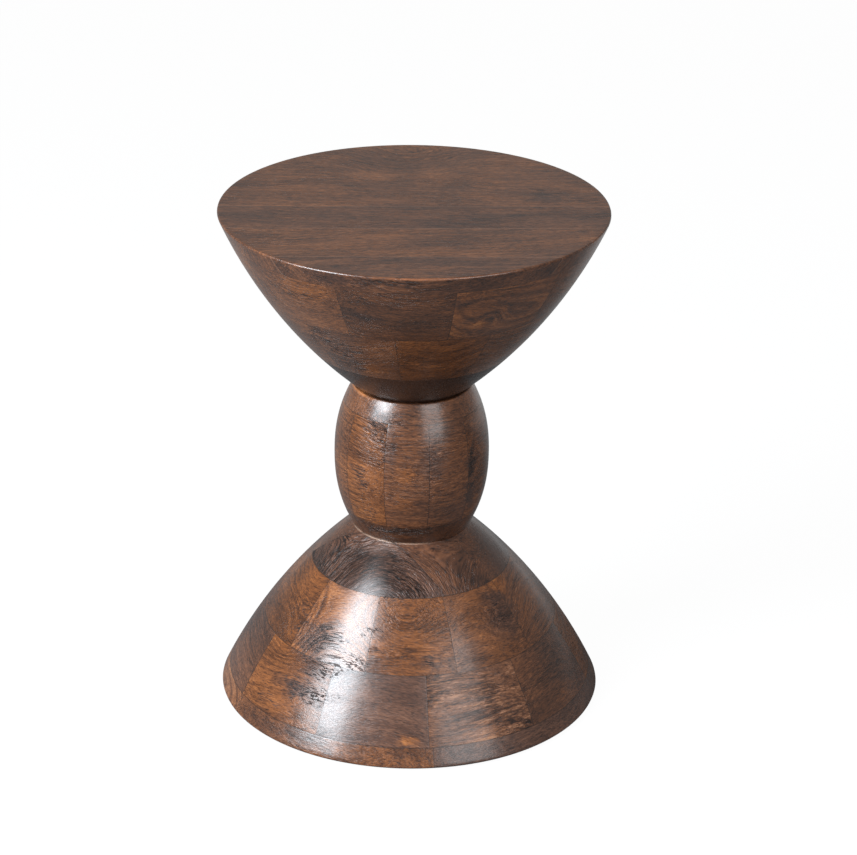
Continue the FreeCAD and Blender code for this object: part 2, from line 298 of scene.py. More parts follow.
def block_tree(name, side, steps_round, steps_up):
    """A tree for one block of a turned ring: a wedge with a flat inner face."""
    sizes = {
        "First azimuth": "Float",
        "Last azimuth": "Float",
        "Low level": "Float",
        "High level": "Float",
        "Inner flat": "Float",
        "Ring centre": "Vector",
        "Seam depth": "Float",
    }
    graph, given = geometry_tree(name, sizes | TIMBER_SIZES)
    first, last = given["First azimuth"], given["Last azimuth"]
    low, high = given["Low level"], given["High level"]
    centre = given["Ring centre"]
    counts = {"Vertices X": steps_round + 1, "Vertices Y": 3, "Vertices Z": steps_up + 1}
    cube = graph.add("GeometryNodeMeshCube", None, {"Size": (1, 1, 1)} | counts)
    x, y, z = graph.parts(graph.add("GeometryNodeInputPosition"))
    azimuth = first.towards(last, x.eased())
    level = low.towards(high, z.eased())
    way = graph.vector(azimuth.sine(), -azimuth.cosine(), 0.0)
    radius = side.value(level)
    shift = graph.dot(way, centre)
    outer = (shift * shift - graph.dot(centre, centre) + radius * radius).root() - shift
    border = x.size().most(z.size()) > CUBE_FACE
    outer = outer - border * given["Seam depth"]
    inner = given["Inner flat"] / (azimuth - (first + last) * 0.5).cosine()
    place = graph.scaled(way, inner.towards(outer, 0.5 - y))
    place = graph.vectors("ADD", place, centre)
    place = graph.vectors("ADD", place, graph.vector(0.0, 0.0, level))
    mesh = graph.add("GeometryNodeSetPosition", None, {"Geometry": cube, "Position": place})

    place = graph.add("GeometryNodeInputPosition")
    level = graph.parts(place)[2]
    spoke = graph.vectors("SUBTRACT", place, centre)
    from_first = graph.dot(spoke, graph.vector(first.cosine(), first.sine(), 0.0))
    to_last = -graph.dot(spoke, graph.vector(last.cosine(), last.sine(), 0.0))
    beside = from_first.least(to_last)
    end_timber(graph, mesh, given, beside, (level - low).least(high - level))
    return graph.tree


def make_piece(name, tree, sizes, slot, *nodes):
    """Shapes a piece by a tree, as a plain mesh that stands for CAD nodes."""
    piece = bpy.data.objects.new(name, bpy.data.meshes.new(name))
    bpy.context.scene.collection.objects.link(piece)
    modifier = piece.modifiers.new("shape", "NODES")
    modifier.node_group = tree
    for item in tree.interface.items_tree:
        if item.in_out == "INPUT":
            modifier[item.identifier] = sizes[item.name]
    scene = bpy.context.evaluated_depsgraph_get()
    shape = bpy.data.meshes.new_from_object(piece.evaluated_get(scene))
    piece.modifiers.remove(modifier)
    piece.data = shape
    shape.name = name
    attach(piece, "root")
    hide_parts(*nodes)
    return piece


def tint(red, green, blue):
    """A colour as a painter reads it, 0 to 255, turned into the light that it returns."""
    shares = [part / 255 for part in (red, green, blue)]
    return tuple(
        part / 12.92 if part <= 0.04045 else ((part + 0.055) / 1.055) ** 2.4 for part in shares
    )


WARM_STAIN = [
    (0.0, tint(27, 15, 9)),
    (0.25, tint(56, 31, 17)),
    (0.5, tint(93, 53, 26)),
    (0.75, tint(132, 78, 38)),
    (1.0, tint(170, 109, 60)),
]
COOL_STAIN = [
    (0.0, tint(22, 15, 13)),
    (0.25, tint(47, 31, 25)),
    (0.5, tint(80, 54, 43)),
    (0.75, tint(111, 78, 62)),
    (1.0, tint(149, 114, 95)),
]


def mark(place, radius, squash=1.0, **effects):
    """Where the wood differs, and in one place on the foot a painted sheen: a place, a radius and
    how much wider than high it is, then how far the mark swirls the grain, lightens, warms or
    smudges it or opens its pores.
    A knot lays the whole grain in rings round the place, so many times as close."""
    return place, radius, squash, effects

def worn_edge(radius, level, reach, place, length, colour):
    """An edge painted lighter, as wear on the top's rim, as a painted highlight on the cap's rim,
    and as both on the barrel's rim: its radius and level, how far the lighter band reaches from
    it, and for what length to either side of a place."""
    return radius, level, reach, place, length, colour

def bare_material(name):
    """A material without nodes, and the graph that takes them."""
    material = bpy.data.materials.new(name)
    material.use_nodes = True
    material.node_tree.nodes.clear()
    return material, Graph(material.node_tree)

RING_WIDTH = 0.0066
LINE_WIDTH = 0.0032
GRAIN_DEPTH = 0.0002
# Glue fills a joint so far to either side, and has faded out so far from it
GLUE_FULL = 0.0001
GLUE_GONE = 0.0006


def stained_wood(
    name, marks=(), edges=(), glue=tint(24, 15, 12), streak=(12.0, 250.0), fineness=1.0
):
    """Dark-stained hardwood under satin lacquer, with open pores.

    The streaks change so many times in a metre along and across the grain, and the
    fine grain lies so many times as close as in the base."""
    material, graph = bare_material(name)
    here = graph.add("ShaderNodeTexCoord", None, None, "Object")

    def stored(attribute):
        settings = {"attribute_name": attribute}
        return graph.add("ShaderNodeAttribute", settings, None, "Vector")

    def grain(along, across, detail=2.0, roughness=0.5):
        """Noise drawn out along the grain, by how often it changes in a metre."""
        stretch = (along, across, across)
        return graph.noise(graph.vectors("MULTIPLY", fibres, stretch), detail, roughness)

    def fine_grain(along, across, detail=1.0):
        return grain(along * fineness, across * fineness, detail, 0.6)

    timber = stored("timber")
    tone, warmth, smudge = graph.parts(stored("stain"))
    rings, streaky, open_grain = graph.parts(stored("figure"))
    beside, above, gloss = graph.parts(stored("seam"))

    # The grain wanders across its board
    wander = graph.vectors("MULTIPLY", timber, (5.0, 14.0, 14.0))
    wander = graph.noise(wander, 2.0, 0.5, "Color")
    wander = graph.vectors("SUBTRACT", wander, (0.5, 0.5, 0.5))
    wander = graph.vectors("MULTIPLY", wander, (0.0, 0.028, 0.028))
    fibres = graph.vectors("ADD", timber, wander)

    # Stain that took unevenly, smudges, and marks with frayed borders
    patches = grain(9.0, 30.0, 3.0, 0.6) - 0.5
    clouds = grain(26.0, 70.0, 4.0, 0.65) - 0.5
    smears = (clouds + patches * 0.5).between(0.03, 0.14) * smudge
    frayed = graph.vectors("MULTIPLY", fibres, (60.0, 150.0, 150.0))
    frayed = graph.noise(frayed, 2.0, 0.6, "Color")
    frayed = graph.vectors("SUBTRACT", frayed, (0.5, 0.5, 0.5))
    frayed = graph.vectors("ADD", here, graph.scaled(frayed, 0.022))
    changed = {"lighter": tone, "warmer": warmth, "smears": smears, "pores": open_grain}
    for (x, y, z), radius, squash, effects in marks:
        away = graph.vectors("MULTIPLY", frayed, (1.0, 1.0, squash))
        away = graph.vectors("DISTANCE", away, (x, y, z * squash), "Value") / radius
        core = 1.0 - (away + clouds * 1.5).between(0.1, 1.3)
        for effect, strength in effects.items():
            if effect in changed:
                changed[effect] = changed[effect] + core * strength
        if "swirl" in effects:
            away = graph.vectors("DISTANCE", here, (x, y, z), "Value") / radius
            bend = (-(away * away)).math("EXPONENT") * effects["swirl"]
            fibres = graph.vectors("ADD", fibres, graph.vector(0.0, bend, 0.0))
        if "knot" in effects:
            away = graph.vectors("ADD", here, graph.scaled(wander, 0.6))
            away = graph.vectors("DISTANCE", away, (x, y, z), "Value") + clouds * 0.006
            ringed = graph.vector(graph.parts(fibres)[0], away * effects["knot"], 0.0)
            fibres = graph.mixed((away / radius).between(0.5, 1.0), ringed, fibres)
    tone, warmth, smears, open_grain = changed.values()
    smears = smears.least(1.0)

    # Growth rings round the pith, streaks, threads, and pores that the lacquer left open
    _, side_way, up_way = graph.parts(fibres)
    growth = (side_way * side_way + up_way * up_way).root()
    streaks = grain(*streak, 3.0, 0.6) - 0.5
    threads = fine_grain(36.0, 600.0, 2.0) - 0.5
    fibre = fine_grain(190.0, 900.0) - 0.5
    ring = ((growth * (math.tau / RING_WIDTH) + patches * 6.0).sine() * 0.5 + 0.5) ** 1.6
    lines = (growth * (math.tau / LINE_WIDTH) + clouds * 9.0).sine()
    combed = grain(14.0, 45.0, 2.0).between(0.4, 0.62)
    open_patch = (0.2 + combed * 0.8) * open_grain
    ridges = fine_grain(70.0, 400.0, 2.0) - 0.5
    dashes = fine_grain(50.0, 1000.0).between(0.53, 0.58)
    pores = fine_grain(150.0, 1100.0).between(0.57, 0.64)
    slits = (fine_grain(34.0, 820.0, 2.0) + smears * 0.1).between(0.57, 0.62)
    slits = slits * smears.between(0.2, 0.6)
    tone = tone + patches * 0.7 + clouds * 0.3 + streaks * streaky * 0.7
    tone = tone + threads * streaky * (0.35 + combed * 0.75) + fibre * 0.6
    tone = tone + (lines * (0.3 + combed) * 0.06 - ring * 0.14) * rings
    tone = tone - smears * 0.04 - slits * 0.34 - pores * 0.18
    tone = tone - dashes * open_patch * 0.14
    warmth = warmth + patches * 0.4 - smears * 0.2 - slits * 0.6

    warm = graph.add("ShaderNodeValToRGB", {"stops": WARM_STAIN}, {0: tone})
    cool = graph.add("ShaderNodeValToRGB", {"stops": COOL_STAIN}, {0: tone})
    colour = graph.mixed(warmth.least(1.0).most(0.0), cool, warm)

    # Edges painted lighter: wear on the top's rim, a painted highlight on the cap's rim, and both
    # on the barrel's rim. Glue darkens the joints, and under the neck it is also painted shade in
    # the gap.
    around, back, level = graph.parts(here)
    spread = (around * around + back * back).root()
    for edge_radius, edge_level, reach, place, length, wear_and_highlight_colour in edges:
        off = spread - edge_radius
        rise = level - edge_level
        away = (off * off + rise * rise).root() / reach
        wear_and_highlight_share = (1.0 - away.between(0.2, 1.0)) * (patches + 0.6).between(0.4, 0.75)
        away = graph.vectors("DISTANCE", here, place, "Value") / length
        wear_and_highlight_share = wear_and_highlight_share * (1.0 - away.between(0.6, 1.0))
        colour = graph.mixed(wear_and_highlight_share * 0.8, colour, (*tint(*wear_and_highlight_colour), 1.0))

    joint = 1.0 - beside.least(above).between(GLUE_FULL, GLUE_GONE)
    joint = joint * (clouds + 0.5).between(0.2, 0.55)
    colour = graph.mixed(joint * 0.7, colour, (*glue, 1.0))

    # The lacquer follows the open grain, and the slits break it
    dull = slits * 0.9
    roughness = 0.32 + dull * 0.3 + open_patch * 0.05 + threads * 0.08 + patches * 0.15
    relief = threads * 4.0 + ridges * 11.0 - dashes * 3.0 + lines * rings * 0.8
    height = relief * open_patch - dull * 0.2 - pores * 0.35 - joint * 0.2
    height = height + fibre * 1.2 + ridges * 0.8
    height = height + graph.noise(graph.scaled(here, 60.0), 1.0) * 0.3
    inputs = {"Strength": 1.0, "Distance": GRAIN_DEPTH, "Height": height}
    normal = graph.add("ShaderNodeBump", None, inputs)
    inputs = {
        "Base Color": colour,
        "Roughness": roughness,
        "Normal": normal,
        "Coat Weight": (gloss - dull * 0.9 - open_patch * 0.2).most(0.0),
        "Coat Roughness": 0.24,
        "Specular IOR Level": 0.35,
    }
    lacquer = graph.add("ShaderNodeBsdfPrincipled", None, inputs)
    graph.add("ShaderNodeOutputMaterial", None, {"Surface": lacquer})
    return material


# How each piece took the stain: tone, warmth and smudges, then how strongly the rings,
# the streaks and the open pores show, and how much of the lacquer stayed on the surface
FINISHES = {
    "golden": (0.74, 0.85, 0.3, 1.4, 0.35, 0.3, 0.95),
    "orange": (0.67, 0.9, 0.5, 0.6, 0.6, 0.45, 0.6),
    "amber": (0.54, 1.0, 0.4, 0.6, 0.5, 0.4, 0.75),
    "chestnut": (0.64, 0.8, 0.4, 0.6, 0.5, 0.4, 0.9),
    "umber": (0.48, 0.75, 0.3, 0.5, 0.4, 0.3, 0.95),
    "brown": (0.6, 0.65, 0.3, 0.5, 0.5, 0.35, 0.9),
    "walnut": (0.53, 0.55, 0.3, 0.4, 0.5, 0.3, 0.9),
    "dusky": (0.56, 0.12, 0.3, 0.5, 0.4, 0.3, 0.95),
    "glinting": (0.49, 0.15, 0.3, 0.25, 0.5, 3.2, 1.0),
    "even": (0.52, 0.5, 0.2, 0.25, 0.25, 0.5, 0.9),
    "dark": (0.19, 0.7, 0.2, 0.3, 0.4, 0.3, 0.6),
    "pored": (0.7, 0.45, 0.3, 0.4, 1.5, 1.5, 0.85),
}


def timber_sizes(finish, grain_azimuth, middle, draw, material):
    """The inputs that say how a piece was cut from its timber and how it took the stain."""
    from_pith = draw.choice((-1, 1)) * draw.uniform(0.02, 0.055)
    return {
        "Timber middle": tuple(middle),
        "Timber origin": (draw.uniform(0, 2), from_pith, draw.uniform(-0.02, 0.02)),
        "Grain azimuth": grain_azimuth,
        "Grain turn": (
            draw.uniform(-0.5, 0.5),
            math.radians(draw.uniform(-6, 6)),
            math.radians(draw.uniform(-7, 7)),
        ),
        "Stain": FINISHES[finish][:3],
        "Figure": FINISHES[finish][3:6],
        "Gloss": FINISHES[finish][6],
        "Material": material,
    }


def lay_course(course, tree, side, node, joint, flat, finishes, material, centre=(0, 0, 0)):
    """One ring of blocks, laid from a joint's azimuth on. A number is left open in the
    node's name where each block has a CAD node of its own."""
    draw = random.Random(course)
    pitch = math.tau / len(finishes)
    for i, finish in enumerate(finishes):
        number = i + 1
        own_node = node.format(number)
        low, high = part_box(own_node)
        first = math.radians(joint) + pitch * i
        azimuth = first + pitch / 2
        level = (low.z + high.z) / 2
        radius = (flat + side.at(level)) / 2
        middle = (radius * math.sin(azimuth), -radius * math.cos(azimuth), level)
        sizes = {
            "First azimuth": first,
            "Last azimuth": first + pitch,
            "Low level": low.z,
            "High level": high.z,
            "Inner flat": flat,
            "Ring centre": tuple(centre),
            "Seam depth": SEAM_DEPTH,
        }
        sizes |= timber_sizes(finish, azimuth, middle, draw, material)
        make_piece(f"{course}_{number:02d}", tree, sizes, "stained_hardwood", own_node)


FOOT_LEVEL = 0.002
CAP_CEILING = 0.163
BASE_SIDE = Arc(0.052, CAP_CEILING, 0.173, FOOT_LEVEL, 0.0105)
FOOT_JOINT = 7.5
FOOT_FINISHES = ["dusky", "walnut", "brown", "golden", "chestnut"]
COURSE_WALL = 0.032
SEAM_DEPTH = 0.00002

base_wood = stained_wood(
    "base_wood",
    marks=[
        mark((-0.1065, -0.0713, 0.0789), 0.026, 1.2, swirl=0.028, lighter=0.06, warmer=0.1),
        mark((-0.083, -0.093, 0.0835), 0.032, 2.6, lighter=-0.05, warmer=-0.5, smears=0.9),
        mark((-0.0765, -0.0889, 0.0932), 0.028, 6.0, lighter=-0.02, warmer=-0.3, smears=0.9),
        mark((-0.0759, -0.1103, 0.066), 0.024, 2.4, lighter=-0.04, warmer=-0.4, smears=0.8),
        mark((-0.0855, -0.1215, 0.0485), 0.027, 3.0, lighter=-0.06, warmer=-0.4, smears=0.7),
        mark((-0.0457, -0.1205, 0.0785), 0.028, 2.8, lighter=-0.02, warmer=-0.3, smears=0.6),
        mark((-0.031, -0.106, 0.1017), 0.018, 4.0, lighter=-0.02, warmer=-0.3, smears=0.65),
        mark((-0.0612, -0.132, 0.0525), 0.012, 1.6, warmer=-0.1, smears=0.2),
        mark((-0.1109, -0.0986, 0.0477), 0.03, 5.0, lighter=-0.14, warmer=-0.2, smears=0.3),
        mark((-0.086, -0.0384, 0.1212), 0.024, 1.0, swirl=0.02, lighter=0.1, warmer=0.2),
        mark((-0.003, -0.0999, 0.1147), 0.028, 1.0, swirl=0.035, lighter=-0.04),
        mark((-0.002, -0.1628, 0.0215), 0.012, 2.5, lighter=0.25, warmer=0.9),
        mark((0.0841, -0.0745, 0.0996), 0.024, 1.2, swirl=0.01, lighter=-0.13, warmer=-0.5),
        mark((0.0823, -0.0751, 0.1009), 0.016, 1.2, smears=0.3, pores=1.0),
        mark((0.076, -0.0648, 0.1145), 0.014, 2.0, lighter=-0.12, warmer=-0.5, smears=0.3),
        mark((0.0505, -0.1135, 0.086), 0.02, 1.3, lighter=-0.1, warmer=-0.5),
        mark((0.0761, -0.0478, 0.1259), 0.012, 1.2, swirl=0.006, lighter=0.15, warmer=0.4),
        mark((0.1366, -0.0809, 0.0299), 0.018, 1.2, lighter=0.06, warmer=0.2),
        mark((0.094, -0.12, 0.042), 0.028, 0.8, lighter=0.02, pores=-1.3),
        mark((0.0655, -0.146, 0.0255), 0.026, 2.5, lighter=0.14, warmer=0.3),
        mark((0.0184, -0.1241, 0.0825), 0.022, 8.0, lighter=-0.16, warmer=-0.2, smears=0.3),
        mark((-0.1306, -0.1075, 0.0101), 0.04, 3.0, lighter=-0.1, warmer=-0.3),
        # Painted sheen: lighter and greyer at the foot's left silhouette, where the glossy surface
        # catches light at a grazing angle.
        mark((-0.165, -0.035, 0.012), 0.05, lighter=0.14, warmer=-0.2),
        mark((-0.0955, -0.1377, 0.0131), 0.03, 3.0, lighter=-0.08, warmer=-0.4, pores=1.2),
        mark((-0.007, -0.1664, 0.0144), 0.018, 4.0, lighter=-0.1, warmer=-0.3, pores=1.2),
    ],
)
foot_side = Rounded(BASE_SIDE, FOOT_LEVEL, -1, 0.002)
lay_course(
    "foot_segment",
    block_tree("foot segment", foot_side, steps_round=56, steps_up=14),
    foot_side,
    "foot_ring_segments",
    FOOT_JOINT,
    0.085,
    FOOT_FINISHES,
    base_wood,
)


# FELT PADS
# A round pad of pressed brown felt stuck under each foot segment, with its edge
# rounded by the die that cut it. They lift the wood 2 mm off the floor.


def pad_tree():
    sizes = {
        "Pad radius": "Float",
        "Pad thickness": "Float",
        "Pad count": "Int",
        "Circle radius": "Float",
        "First azimuth": "Float",
        "Material": "Material",
    }
    graph, given = geometry_tree("felt pads", sizes)
    thickness = given["Pad thickness"]
    inputs = {
        "Vertices": 48,
        "Side Segments": 6,
        "Fill Segments": 4,
        "Radius": given["Pad radius"],
        "Depth": thickness,
    }
    pad = graph.add("GeometryNodeMeshCylinder", None, inputs)
    place = graph.add("GeometryNodeInputPosition")
    x, y, z = graph.parts(place)
    rise = (z / thickness).size() * 2.0
    rim = (x * x + y * y).root() / given["Pad radius"]
    pinch = 1.0 - rise**4.0 * rim**4.0 * 0.03
    place = graph.vector(x * pinch, y * pinch, z + thickness * 0.5)
    pad = graph.add("GeometryNodeSetPosition", None, {"Geometry": pad, "Position": place})
    inputs = {"Vertices": given["Pad count"], "Radius": given["Circle radius"]}
    circle = graph.add("GeometryNodeMeshCircle", None, inputs)
    turn = graph.vector(0.0, 0.0, given["First azimuth"] - math.pi / 2)
    circle = graph.add("GeometryNodeTransform", None, {"Geometry": circle, "Rotation": turn})
    mesh = graph.add("GeometryNodeInstanceOnPoints", None, {"Points": circle, "Instance": pad})
    end_tree(graph, mesh, given["Material"])
    return graph.tree


def pressed_felt():
    material, graph = bare_material("pressed_felt")
    here = graph.add("ShaderNodeTexCoord", None, None, "Object")
    hairs = graph.noise(graph.scaled(here, 2600.0), 3.0, 0.7)
    clumps = graph.noise(graph.scaled(here, 320.0), 2.0, 0.6)
    stops = [(0.3, tint(44, 30, 22)), (0.55, tint(78, 56, 42)), (0.8, tint(120, 94, 74))]
    colour = graph.add("ShaderNodeValToRGB", {"stops": stops}, {0: hairs * 0.6 + clumps * 0.4})
    inputs = {"Strength": 0.8, "Distance": 0.0003, "Height": hairs + clumps * 0.8}
    normal = graph.add("ShaderNodeBump", None, inputs)
    inputs = {
        "Base Color": colour,
        "Roughness": hairs * 0.1 + 0.85,
        "Normal": normal,
        "Sheen Weight": 0.4,
        "Specular IOR Level": 0.2,
    }
    felt = graph.add("ShaderNodeBsdfPrincipled", None, inputs)
    graph.add("ShaderNodeOutputMaterial", None, {"Surface": felt})
    return material


pad_sizes = {
    "Pad radius": 0.0125,
    "Pad thickness": FOOT_LEVEL,
    "Pad count": len(FOOT_FINISHES),
    "Circle radius": 0.145,
    "First azimuth": math.radians(FOOT_JOINT + 180 / len(FOOT_FINISHES)),
    "Material": pressed_felt(),
}
make_piece("felt_pads_cut", pad_tree(), pad_sizes, "brown_felt", "felt_pads")


# BASE, LOWER COURSE
# Ten blocks sawn to wedges and glued edge to edge into a ring on the foot. Outside
# they are turned, inside they keep the flat face of the stock that they were sawn from.

LOWER_CEILING = 0.073

base_tree = block_tree("base block", BASE_SIDE, steps_round=26, steps_up=22)
lay_course(
    "base_lower_wedge",
    base_tree,
    BASE_SIDE,
    "base_lower_block_{:02d}",
    6.3,
    BASE_SIDE.at(LOWER_CEILING) - COURSE_WALL,
    [
        "pored", "walnut", "orange", "orange", "walnut",
        "chestnut", "dusky", "walnut", "orange", "dusky",
    ],
    base_wood,
)


# BASE, UPPER COURSE
# Ten more blocks, laid so that their joints fall over the blocks below, as bricks
# are. They are shorter round, and their inner faces step in from the lower course.

CAP_FLOOR = 0.127

lay_course(
    "base_upper_wedge",
    base_tree,
    BASE_SIDE,
    "base_upper_block_{:02d}",
    18.7,
    BASE_SIDE.at(CAP_FLOOR) - COURSE_WALL,
    [
        "chestnut", "chestnut", "chestnut", "pored", "orange",
        "walnut", "brown", "amber", "golden", "orange",
    ],
    base_wood,
)


# BASE CAP
# Three thick dark boards glued side by side and turned to a ring-shaped shoulder.
# The cap closes the base, takes the barrel's spigot and lets the rod through.


def board_tree(name, side, steps_across, steps_along, steps_up, bored=False, spigot=False):
    """A tree for one board of a turned disc, between two lines across it.

    A bored board has a hole for the rod, and a wider recess. A disc with a spigot
    has a plug on one face instead of a recess."""
    sizes = {
        "Near line": "Float",
        "Far line": "Float",
        "Low level": "Float",
        "High level": "Float",
        "Glued below": "Float",
        "Glued above": "Float",
        "Board azimuth": "Float",
    }
    holes = {
        "Hole radius": "Float",
        "Recess radius": "Float",
        "Recess floor": "Float",
        "Recess ceiling": "Float",
    }
    graph, given = geometry_tree(name, sizes | (holes if bored else {}) | TIMBER_SIZES)
    azimuth = given["Board azimuth"]
    low, high = given["Low level"], given["High level"]
    counts = {
        "Vertices X": steps_across + 1,
        "Vertices Y": steps_along + 1,
        "Vertices Z": steps_up + 1,
    }
    cube = graph.add("GeometryNodeMeshCube", None, {"Size": (1, 1, 1)} | counts)
    x, y, z = graph.parts(graph.add("GeometryNodeInputPosition"))
    level = low.towards(high, z.eased())
    radius = side.value(level)
    first = (given["Near line"] / radius).most(-1.0).least(1.0).math("ARCSINE")
    last = (given["Far line"] / radius).most(-1.0).least(1.0).math("ARCSINE")
    turn = first.towards(last, x + 0.5)
    place = graph.vector(radius * turn.sine(), radius * turn.cosine() * y * 2.0, level)
    place = graph.spun(place, azimuth)
    mesh = graph.add("GeometryNodeSetPosition", None, {"Geometry": cube, "Position": place})
    mesh = graph.add("GeometryNodeMergeByDistance", None, {"Geometry": mesh, "Distance": 1e-5})

    def rod_tool(radius, floor, ceiling):
        """A cylinder on the axis between two levels."""
        inputs = {"Vertices": 48, "Radius": radius, "Depth": ceiling - floor}
        tool = graph.add("GeometryNodeMeshCylinder", None, inputs)
        lift = graph.vector(0.0, 0.0, (floor + ceiling) * 0.5)
        return graph.add("GeometryNodeTransform", None, {"Geometry": tool, "Translation": lift})

    def combined(operation, first_mesh, second_mesh):
        settings = {"operation": operation, "solver": "EXACT"}
        inputs = {"Mesh 2": second_mesh}
        inputs |= {"Mesh 1": first_mesh} if operation == "DIFFERENCE" else {}
        joined = graph.add("GeometryNodeMeshBoolean", settings, inputs)
        if operation == "UNION":
            node = joined.socket.node
            graph.tree.links.new(first_mesh.socket, node.inputs["Mesh 2"])
        return joined

    if bored:
        wide = rod_tool(given["Recess radius"], given["Recess floor"], given["Recess ceiling"])
        mesh = combined("UNION" if spigot else "DIFFERENCE", mesh, wide)
        hole = rod_tool(given["Hole radius"], low - CUT_PAST, high + CUT_PAST)
        mesh = combined("DIFFERENCE", mesh, hole)

    across, _, level = graph.parts(graph.spun(graph.add("GeometryNodeInputPosition"), -azimuth))
    beside = (across - given["Near line"]).least(given["Far line"] - across)
    above = (level - given["Glued below"]).least(given["Glued above"] - level)
    end_timber(graph, mesh, given, beside, above)
    return graph.tree


OPEN_AIR = 1.0


def lay_boards(boards, tree, nodes, azimuth, lines, glued, finishes, material, holes=None):
    """A turned disc of boards side by side, from its front line to its back line."""
    draw = random.Random(boards)
    lines = [-OPEN_AIR, *lines, OPEN_AIR]
    for i, (finish, node) in enumerate(zip(finishes, nodes)):
        low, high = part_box(node)
        near, far = lines[i], lines[i + 1]
        sizes = {
            "Near line": near,
            "Far line": far,
            "Low level": holes["Low level"] if holes else low.z,
            "High level": holes["High level"] if holes else high.z,
            "Glued below": glued[0],
            "Glued above": glued[1],
            "Board azimuth": math.radians(azimuth),
        }
        sizes |= holes or {}
        grain_azimuth = math.radians(azimuth - 90)
        middle = (low + high) / 2
        sizes |= timber_sizes(finish, grain_azimuth, middle, draw, material)
        name = f"{boards}_{i + 1}" if len(nodes) > 1 else boards
        make_piece(name, tree, sizes, "stained_hardwood", node)


ROD_HOLE = 0.0055
SPIGOT_RADIUS = 0.022
SPIGOT_LENGTH = 0.010
RECESS_RADIUS = SPIGOT_RADIUS + 0.00015
RECESS_DEPTH = SPIGOT_LENGTH + 0.0005
CUT_PAST = 0.02

def rod_bore(low, high, radius, floor, ceiling):
    """The inputs of a disc between two levels that has the rod's hole, and a recess or a
    spigot of a radius between two levels of its own."""
    return {
        "Low level": low,
        "High level": high,
        "Hole radius": ROD_HOLE,
        "Recess radius": radius,
        "Recess floor": floor,
        "Recess ceiling": ceiling,
    }

cap_side = Rounded(BASE_SIDE, CAP_CEILING, 1, 0.0015)
cap_wood = stained_wood(
    "cap_wood",
    marks=[mark((-0.027, -0.094, 0.106), 0.13, knot=0.9)],
    # A painted highlight: a pale band on the cap's rounded rim at the left, where the lamp's glint
    # falls.
    edges=[
        worn_edge(
            radius=0.0522,
            level=0.1628,
            reach=0.0016,
            place=(-0.026, -0.046, CAP_CEILING),
            length=0.05,
            colour=(176, 146, 126),
        )
    ],
    fineness=1.35,
)
lay_boards(
    "base_cap_plank",
    board_tree(
        "base cap board", cap_side, steps_across=28, steps_along=20, steps_up=24, bored=True
    ),
    ["base_cap_board_1", "base_cap_board_2", "base_cap_board_3"],
    54.0,
    [BASE_SIDE.at(CAP_FLOOR) * -0.56, BASE_SIDE.at(CAP_FLOOR) * 0.43],
    (CAP_FLOOR, OPEN_AIR),
    ["glinting", "even", "even"],
    cap_wood,
    rod_bore(
        CAP_FLOOR,
        CAP_CEILING,
        RECESS_RADIUS,
        CAP_CEILING - RECESS_DEPTH,
        CAP_CEILING + CUT_PAST,
    ),
)


# BARREL, BOTTOM DISC
# A dark disc under the staves, rounded over at its lower edge. The spigot turned on
# its underside is glued into the cap, and a hole for the rod runs through both.


class Swell:
    """The barrel's side: widest half way up, and fuller than a plain parabola."""

    def __init__(self, end_radius, swell, low, high, fullness):
        self.end_radius = end_radius
        self.swell = swell
        self.middle = (low + high) / 2
        self.half = (high - low) / 2
        self.fullness = fullness

    def at(self, level):
        reach = abs(level - self.middle) / self.half
        return self.end_radius + self.swell * (1 - reach**self.fullness)

    def value(self, level):
        reach = ((level - self.middle) / self.half).size()
        return self.end_radius + self.swell * (1.0 - reach**self.fullness)


BARREL_FLOOR = CAP_CEILING
BARREL_CEILING = 0.298
BARREL_ROUNDING = 0.002
SPIGOT_ROOT = 0.002

barrel_side = Swell(0.0525, 0.0165, BARREL_FLOOR, BARREL_CEILING, 2.3)
barrel_wood = stained_wood(
    "barrel_wood",
    marks=[
        mark((-0.0283, -0.0528, 0.2821), 0.018, 1.5, warmer=-0.3, pores=1.7),
        mark((-0.0326, -0.0546, 0.2714), 0.018, pores=0.8),
        mark((-0.0483, -0.0486, 0.2184), 0.016, 0.6, lighter=0.04, smears=0.3, pores=1.0),
        mark((-0.0193, -0.0641, 0.2567), 0.008, lighter=-0.06, warmer=-0.6, smears=0.2, pores=0.9),
        mark((0.0191, -0.0653, 0.2481), 0.012, 0.6, lighter=-0.05, warmer=-0.5, pores=0.6),
        mark((0.0527, -0.0441, 0.2389), 0.006, 0.5, lighter=-0.2, warmer=-0.5, pores=1.4),
        mark((0.0524, -0.0429, 0.2091), 0.007, 0.4, lighter=-0.22, warmer=-0.5),
        mark((-0.0069, -0.0683, 0.2367), 0.012, 1.2, swirl=0.006, lighter=0.1, warmer=0.3),
        mark((-0.0076, -0.0671, 0.2072), 0.014, 1.5, swirl=0.004, lighter=0.1, warmer=0.3),
        mark((0.016, -0.0538, 0.3), 0.02, swirl=0.012),
        mark((-0.0287, -0.0512, 0.1759), 0.02, 3.0, warmer=-0.3, pores=2.6),
        mark((-0.0003, -0.0593, 0.1772), 0.02, 4.0, warmer=-0.3, pores=2.0),
    ],
    # A lighter band on the barrel's top rim at the left, under the neck: partly wear, partly a
    # painted highlight.
    edges=[
        worn_edge(
            radius=0.0518,
            level=0.2975,
            reach=0.0035,
            place=(-0.045, -0.025, BARREL_CEILING),
            length=0.04,
            colour=(190, 120, 70),
        )
    ],
    streak=(40.0, 420.0),
)
stave_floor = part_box("barrel_staves")[0].z
stave_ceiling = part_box("barrel_staves")[1].z
